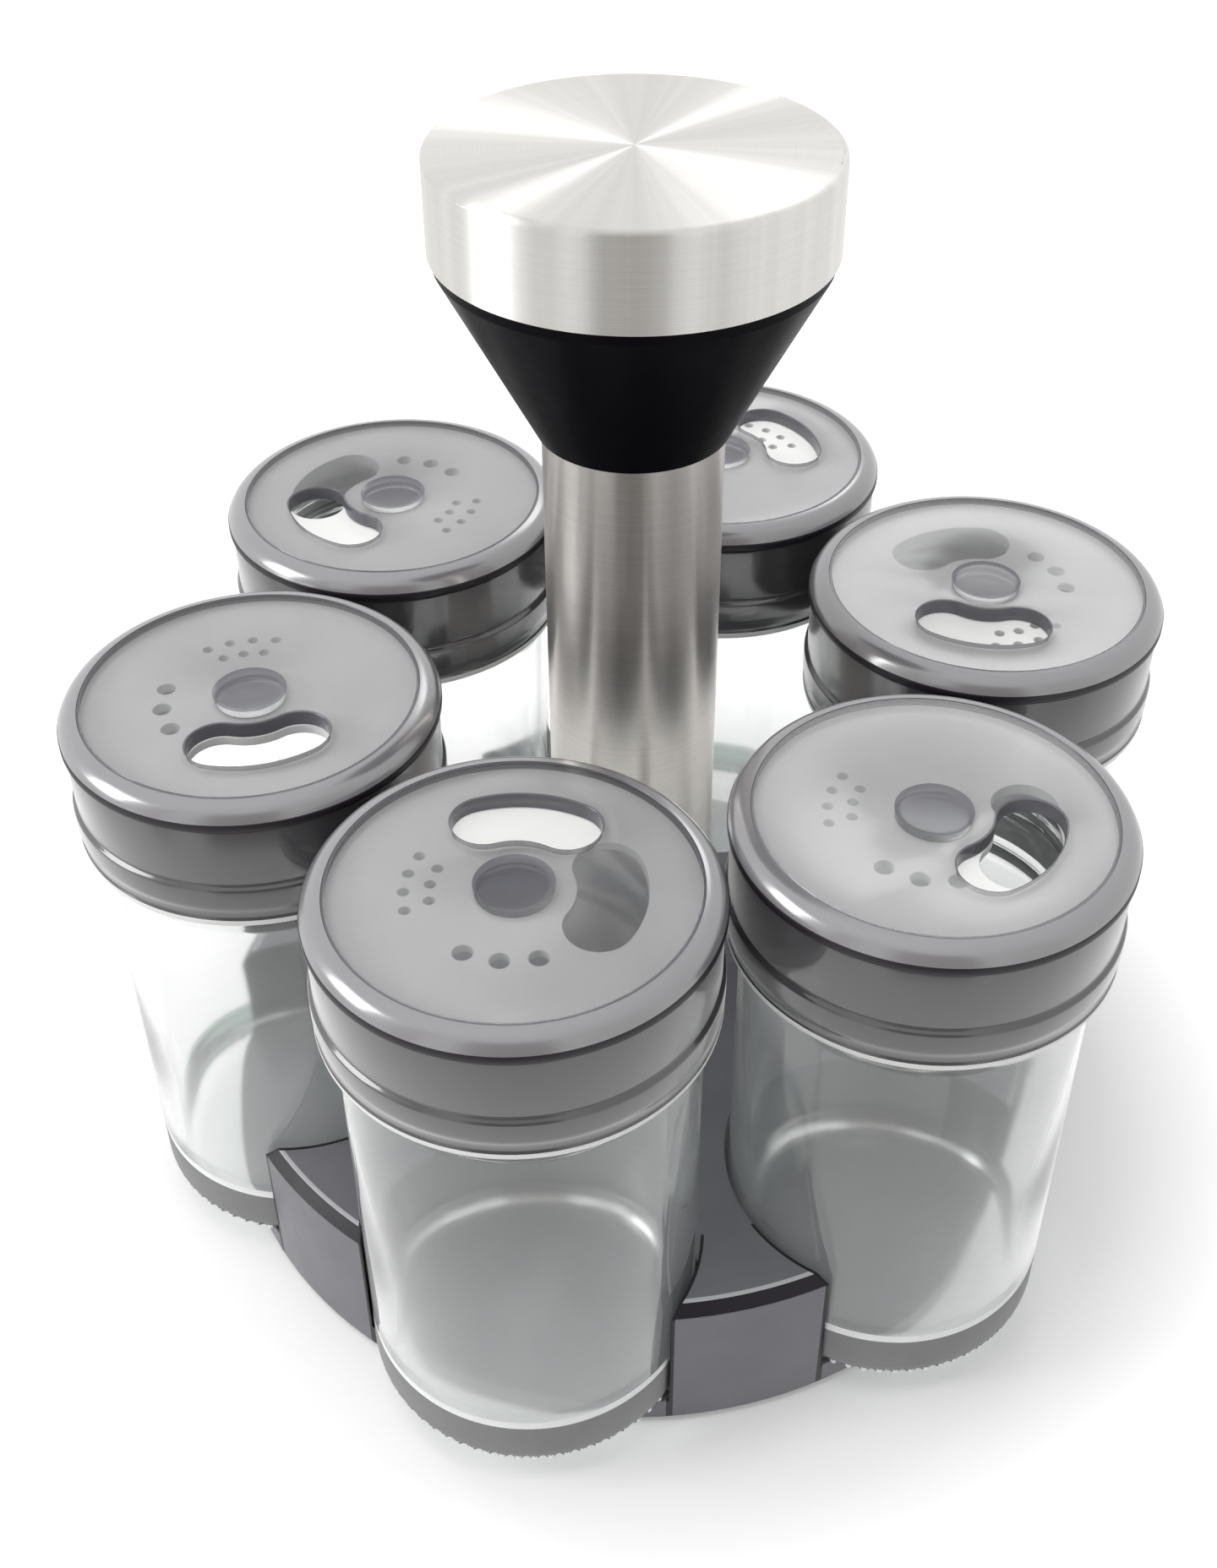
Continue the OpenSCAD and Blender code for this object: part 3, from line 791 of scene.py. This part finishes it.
def floor_material():
    """White to the camera and in reflections, and it keeps the object's shadow."""
    n = Nodes("floor")
    n.set(Base_Color=(0.90, 0.90, 0.895), Roughness=0.9, Specular_IOR_Level=0.0)
    paths = n.add("ShaderNodeLightPath")
    seen = n.math("MAXIMUM", paths.outputs["Is Camera Ray"], paths.outputs["Is Glossy Ray"])
    seen = n.math("MAXIMUM", seen, paths.outputs["Is Transmission Ray"])
    # it fades to plain white away from the object
    near, far = 0.082, 0.125
    amount = n.span(n.radius(n.place()), 0.17, 0.55, near, far)
    glow = n.add("ShaderNodeEmission")
    n.link(n.math("MULTIPLY", seen, amount), glow.inputs["Strength"])
    both = n.add("ShaderNodeAddShader")
    n.link(n.bsdf.outputs["BSDF"], both.inputs[0])
    n.link(glow.outputs["Emission"], both.inputs[1])
    # from below it is clear, so that the underside shows
    below = n.add("ShaderNodeMixShader")
    n.link(n.add("ShaderNodeNewGeometry").outputs["Backfacing"], below.inputs["Fac"])
    n.link(both.outputs["Shader"], below.inputs[1])
    n.link(n.add("ShaderNodeBsdfTransparent").outputs["BSDF"], below.inputs[2])
    n.link(below.outputs["Shader"], n.out.inputs["Surface"])
    return n.mat


ground = bpy.data.meshes.new("floor")
size = 6.0
corners = [(-size, -size, 0), (size, -size, 0), (size, size, 0), (-size, size, 0)]
ground.from_pydata(corners, [], [(0, 1, 2, 3)])
ground.materials.append(floor_material())
floor = bpy.data.objects.new("floor", ground)
scene.collection.objects.link(floor)
floor.visible_glossy = False  # metal shows the room below the horizon too

world = bpy.data.worlds.new("studio")
scene.world = world
world.use_nodes = True
tree = world.node_tree
tree.nodes.clear()


def w_add(kind, *links, **settings):
    """A node of the world. links are its first inputs in order, sockets or numbers."""
    node = tree.nodes.new(kind)
    for key, value in settings.items():
        setattr(node, key, value)
    for i, link in enumerate(links):
        if isinstance(link, (int, float)):
            node.inputs[i].default_value = link
        elif link is not None:
            tree.links.new(link, node.inputs[i])
    return node


def room():
    """A white room for reflections, with a dark flag at the camera and three narrow grey ones, by azimuth."""
    way = w_add("ShaderNodeSeparateXYZ", w_add("ShaderNodeTexCoord").outputs["Generated"])
    x, y, z = way.outputs
    back_y = w_add("ShaderNodeMath", y, -1.0, operation="MULTIPLY").outputs[0]
    turn = w_add("ShaderNodeMath", x, back_y, operation="ARCTAN2").outputs[0]
    fac = w_add("ShaderNodeMapRange", turn, -math.pi, math.pi, 0.0, 1.0).outputs["Result"]
    ramp = w_add("ShaderNodeValToRGB", fac)
    stops = [(0.0, 1.0)]
    for middle, half, soft, grey in (
        (-75, 4, 6, 0.82), (-34, 4, 5, 0.70), (14, 17, 9, 0.33), (65, 12, 8, 0.87),
    ):
        left, right = middle - half, middle + half
        stops += [(left - soft, 1.0), (left, grey), (right, grey), (right + soft, 1.0)]
    ends = ramp.color_ramp.elements
    while len(ends) < len(stops):
        ends.new(0.5)
    for end, (degrees, grey) in zip(ends, stops):
        end.position = degrees / 360.0 + 0.5 if degrees else 0.0
        warm = 1.0 - 0.09 * (1.0 - grey)
        end.color = (grey, grey * warm, grey * warm * warm, 1.0)
    # the flags stand on the floor and end overhead
    low = w_add("ShaderNodeMapRange", z, -0.62, -0.48, 0.0, 1.0, interpolation_type="SMOOTHSTEP")
    high = w_add("ShaderNodeMapRange", z, 0.62, 0.85, 1.0, 0.0, interpolation_type="SMOOTHSTEP")
    stand = w_add("ShaderNodeMath", low.outputs[0], high.outputs[0], operation="MULTIPLY").outputs[0]
    mix = w_add("ShaderNodeMix", stand, data_type="RGBA")
    mix.inputs[6].default_value = (1.0, 1.0, 1.0, 1.0)
    tree.links.new(ramp.outputs["Color"], mix.inputs[7])
    return mix.outputs[2]


def world_light():
    """Plain light for the object, white behind it, and the room in its reflections."""
    paths = w_add("ShaderNodeLightPath").outputs
    light = w_add("ShaderNodeBackground")
    light.inputs["Color"].default_value = (1.0, 1.0, 1.0, 1.0)
    light.inputs["Strength"].default_value = 0.55
    white = w_add("ShaderNodeBackground")
    white.inputs["Color"].default_value = (1.0, 1.0, 1.0, 1.0)
    straight = paths["Is Camera Ray"], paths["Is Transmission Ray"]
    seen = w_add("ShaderNodeMath", *straight, operation="MAXIMUM").outputs[0]
    mirrored = w_add("ShaderNodeBackground", room())
    first = w_add("ShaderNodeMixShader", seen, light.outputs[0], white.outputs[0])
    second = w_add("ShaderNodeMixShader", paths["Is Glossy Ray"], first.outputs[0], mirrored.outputs[0])
    w_add("ShaderNodeOutputWorld", second.outputs[0])


world_light()


def softbox(name, at, aim, size_x, size_y, watts, mirrored=True):
    """A rectangular lamp that faces aim. mirrored says whether gloss shows it."""
    lamp = bpy.data.lights.new(name, "AREA")
    lamp.shape = "RECTANGLE"
    lamp.size, lamp.size_y, lamp.energy = size_x, size_y, watts
    obj = bpy.data.objects.new(name, lamp)
    obj.location = at
    obj.rotation_euler = (Vector(aim) - Vector(at)).to_track_quat("-Z", "Y").to_euler()
    obj.visible_glossy = mirrored
    scene.collection.objects.link(obj)


softbox("softbox_top", (-0.12, -0.05, 0.75), (0.0, 0.0, 0.06), 0.55, 0.55, 2.6, False)
softbox("softbox_left", (-0.75, -0.35, 0.45), (0.0, 0.0, 0.08), 0.35, 0.5, 3.4)
softbox("softbox_back", (-0.03, 1.05, 0.86), (0.0, 0.0, 0.10), 0.36, 0.24, 0.85)

# The camera, fitted to the edges in the photograph: azimuth, elevation, distance and aim point
AZ, EL, DIST = math.radians(15.536), math.radians(38.152), 0.27761
AIM = Vector((-0.00089, -0.00208, 0.07905))
PHOTO_W, PHOTO_H = 1440, 1856
FOCAL_PX, CENTRE_X, CENTRE_Y = 2199.3, 737.0, 861.8
camera = bpy.data.cameras.new("camera")
camera.sensor_fit = "HORIZONTAL"
camera.sensor_width = 36.0
camera.lens = camera.sensor_width * FOCAL_PX / PHOTO_W
camera.shift_x = (PHOTO_W / 2 - CENTRE_X) / PHOTO_W
camera.shift_y = (CENTRE_Y - PHOTO_H / 2) / PHOTO_W
camera.clip_start = 0.01
eye = bpy.data.objects.new("camera", camera)
back = Vector((math.sin(AZ) * math.cos(EL), -math.cos(AZ) * math.cos(EL), math.sin(EL)))
eye.location = AIM + back * DIST
eye.rotation_euler = (-back).to_track_quat("-Z", "Y").to_euler()
scene.collection.objects.link(eye)
scene.camera = eye
